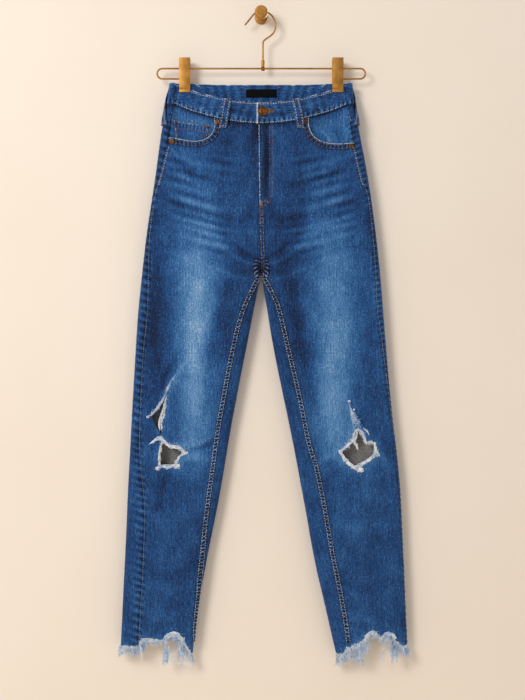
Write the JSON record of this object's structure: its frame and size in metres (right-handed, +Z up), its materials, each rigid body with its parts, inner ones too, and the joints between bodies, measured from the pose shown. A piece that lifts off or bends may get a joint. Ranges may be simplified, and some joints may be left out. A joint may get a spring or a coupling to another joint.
{
  "type": "ripped skinny jeans on a clip hanger and wall peg",
  "caption": "Washed high-waist skinny jeans with ripped knees and chewed, frayed hems, hung flat by two clips from a wire hanger on a round wall peg.",
  "frame": {"origin": "middle of the wall peg's back face, on the wall plane y = 0", "axes": "+Z up, the front of the jeans faces -Y, the wall is behind at y = 0, the wearer's left leg is on the +X side"},
  "size_m": [0.5011, 0.0453, 1.1567],
  "materials": {
    "denim": "stone-washed blue denim, faded on the thighs, matte",
    "thread": "loose undyed cotton weft threads",
    "tag": "black woven blank tag",
    "copper": "aged copper-coloured button and rivets",
    "brass": "satin brass hanger, clips, peg and zip"
  },
  "bodies": {
    "root": {"front_right": "denim", "front_left": "denim", "back_right": "denim", "back_left": "denim", "yoke_right": "denim", "yoke_left": "denim", "waistband_front_right": "denim", "waistband_front_left": "denim", "waistband_back": "denim", "belt_loop_front_right": "denim", "belt_loop_front_left": "denim", "belt_loop_back": "denim", "belt_loop_side_right": "denim", "belt_loop_side_left": "denim", "pocket_facing_right": "denim", "pocket_facing_left": "denim", "coin_pocket": "denim", "back_pocket_right": "denim", "back_pocket_left": "denim", "zip_tape": "denim", "fly_shield": "denim", "waist_button": "copper", "rivet_right_inner": "copper", "rivet_right_outer": "copper", "rivet_left_inner": "copper", "rivet_left_outer": "copper", "coin_rivet_outer": "copper", "coin_rivet_inner": "copper", "hanger_bar": "brass", "hanger_hook": "brass", "hanger_ferrule": "brass", "swivel_rivet": "brass", "clip_right_front": "brass", "clip_right_back": "brass", "clip_right_spring": "brass", "clip_left_front": "brass", "clip_left_back": "brass", "clip_left_spring": "brass", "wall_peg": "brass", "zip_chain": "brass", "zip_slider": "brass", "fray_right": "thread", "fray_left": "thread", "waist_tag": "tag"}
  },
  "joints": []
}
